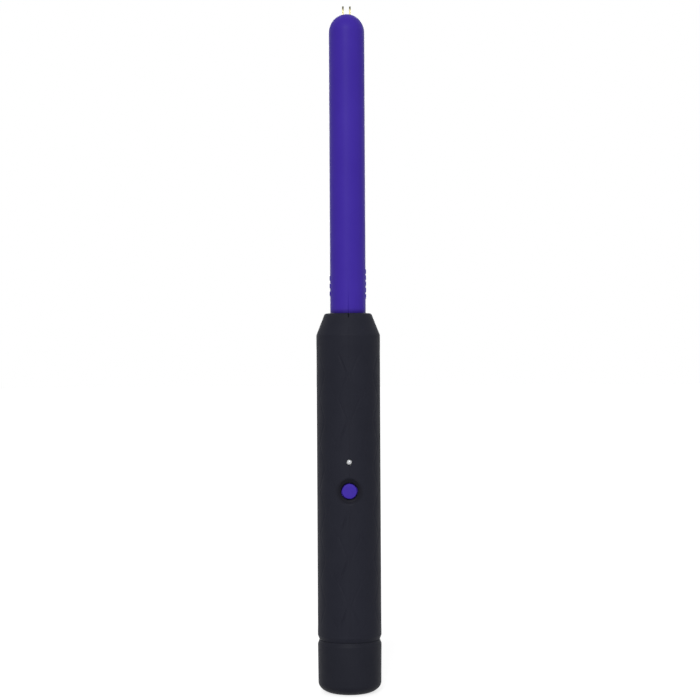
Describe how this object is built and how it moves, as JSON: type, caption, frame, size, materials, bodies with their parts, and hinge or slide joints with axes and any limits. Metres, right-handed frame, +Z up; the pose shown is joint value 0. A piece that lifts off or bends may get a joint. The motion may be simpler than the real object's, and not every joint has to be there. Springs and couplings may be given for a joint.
{
  "type": "violet ray wand",
  "caption": "Slim hand-held battery wand: domed violet tube with twin contact pins, round black handle with push button and lamp, screw end cap.",
  "frame": {"origin": "centre of the end cap's flat foot", "axes": "+Z up through the tip of the tube, -Y towards the button and the lamp, +X to the right seen from the button's side"},
  "size_m": [0.0353, 0.0354, 0.3803],
  "materials": {
    "black_shell": "satin moulded, slightly blue black",
    "black_cap": "satin moulded, slightly blue black",
    "violet_shell": "satin moulded, deep violet",
    "violet_button": "satin moulded, deep violet",
    "contact_brass": "turned, slightly tarnished",
    "white_insulator": "moulded",
    "red_insulation": "smooth",
    "black_insulation": "smooth",
    "nickel_contact": "nickel plated spring steel",
    "steel": "zinc plated",
    "grey_liner": "moulded",
    "cell_wrap": "printed film sleeve, left plain",
    "black_component": "moulded epoxy",
    "capacitor_sleeve": "shrunk sleeve",
    "resistor_body": "lacquered",
    "lamp_lens": "frosted clear resin",
    "board_laminate": "solder mask",
    "ferrite": "pressed and ground",
    "coil_wire": "enamelled wire under clear tape",
    "potting": "cast resin"
  },
  "bodies": {
    "cap": {"end_cap": "black_cap", "carrier_screw": "steel"},
    "carrier": {"contact_carrier": "grey_liner", "bridge_plate": "nickel_contact", "bridge_spring": "nickel_contact"},
    "cells": {"cell_left": "cell_wrap", "cell_right": "cell_wrap"},
    "wand": {"handle_shell_left": "black_shell", "handle_shell_right": "black_shell", "tube_shell_left": "violet_shell", "tube_shell_right": "violet_shell", "electrode_holder": "white_insulator", "contact_pin_left": "contact_brass", "contact_pin_right": "contact_brass", "hv_lead_left": "red_insulation", "hv_lead_right": "black_insulation", "lead_spacer_lower": "white_insulator", "lead_spacer_upper": "white_insulator", "head_plate_left": "nickel_contact", "head_plate_right": "nickel_contact", "head_spring": "nickel_contact", "battery_tube": "grey_liner", "switch_body": "black_component", "led": "lamp_lens", "led_leads": "steel", "circuit_board": "board_laminate", "transformer_core": "ferrite", "transformer_coil": "coil_wire", "hv_module": "potting", "drive_transistor": "black_component", "storage_capacitor": "capacitor_sleeve", "resistors": "resistor_body", "diodes": "black_component", "supply_wire_black": "black_insulation", "supply_wire_red": "red_insulation"},
    "button": {"button_cap": "violet_button", "switch_plunger": "white_insulator"}
  },
  "joints": [
    {"name": "cap_turn", "type": "hinge", "parent": "cap", "child": "carrier", "pos_m": [0, 0, 0.0153], "axis": [0, 0, 1], "range_deg": [0, 1080]},
    {"name": "cap_screw", "type": "slide", "parent": "carrier", "child": "cells", "axis": [0, 0, 1], "range_m": [0, 0.006]},
    {"name": "cells_draw", "type": "slide", "parent": "cells", "child": "wand", "axis": [0, 0, 1], "range_m": [0, 0.06]},
    {"name": "button_press", "type": "slide", "parent": "wand", "child": "button", "axis": [0, 1, 0], "range_m": [0, 0.0012], "stiffness_N_per_m": 600, "springref_m": -0.0008}
  ],
  "couplings": [
    {"joint": "cap_turn", "follows": "cap_screw", "rad_per_m": 3141.6}
  ]
}
